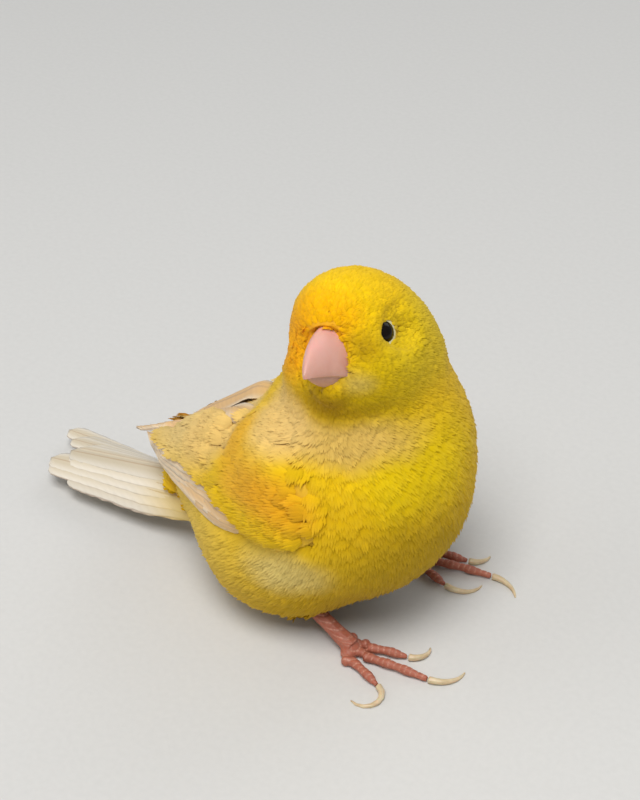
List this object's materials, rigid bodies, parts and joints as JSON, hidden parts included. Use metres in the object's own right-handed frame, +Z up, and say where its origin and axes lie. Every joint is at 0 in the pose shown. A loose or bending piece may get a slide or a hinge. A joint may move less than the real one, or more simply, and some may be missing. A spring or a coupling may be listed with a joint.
{
  "type": "still model of a canary",
  "caption": "Life-size yellow canary squatting on its feet, head turned over its right shoulder, wings folded.",
  "frame": {"origin": "on the floor under the middle of the bird's bounding box", "axes": "+X the way the breast faces, +Y the bird's left side, +Z up"},
  "size_m": [0.0922, 0.0454, 0.0627],
  "materials": {
    "plumage": "soft yellow body feathers, paler at the collar, flank and back",
    "wing_feather": "peach-yellow coverts and pale cream-pink flight feathers with pale shafts",
    "tail_feather": "cream tail feathers, yellow at the base",
    "bill": "pale pink horn with a soft shine",
    "eye": "wet black eye",
    "leg_skin": "reddish-brown scaled skin",
    "claw": "pale translucent horn"
  },
  "bodies": {
    "root": {"eye_left": "eye", "eye_right": "eye", "head": "plumage", "bill_upper": "bill", "bill_lower": "bill", "neck": "plumage", "breast": "plumage", "abdomen": "plumage", "rump": "plumage", "leg_right": "leg_skin", "toe_right_inner": "leg_skin", "claw_right_inner": "claw", "toe_right_middle": "leg_skin", "claw_right_middle": "claw", "toe_right_outer": "leg_skin", "claw_right_outer": "claw", "toe_right_back": "leg_skin", "claw_right_back": "claw", "tail_right_outer": "tail_feather", "tail_right_middle": "tail_feather", "tail_right_inner": "tail_feather", "wing_right_coverts": "wing_feather", "wing_right_secondaries": "wing_feather", "wing_right_primaries": "wing_feather", "leg_left": "leg_skin", "toe_left_inner": "leg_skin", "claw_left_inner": "claw", "toe_left_middle": "leg_skin", "claw_left_middle": "claw", "toe_left_outer": "leg_skin", "claw_left_outer": "claw", "toe_left_back": "leg_skin", "claw_left_back": "claw", "tail_left_outer": "tail_feather", "tail_left_middle": "tail_feather", "tail_left_inner": "tail_feather", "wing_left_coverts": "wing_feather", "wing_left_secondaries": "wing_feather", "wing_left_primaries": "wing_feather"}
  },
  "joints": []
}
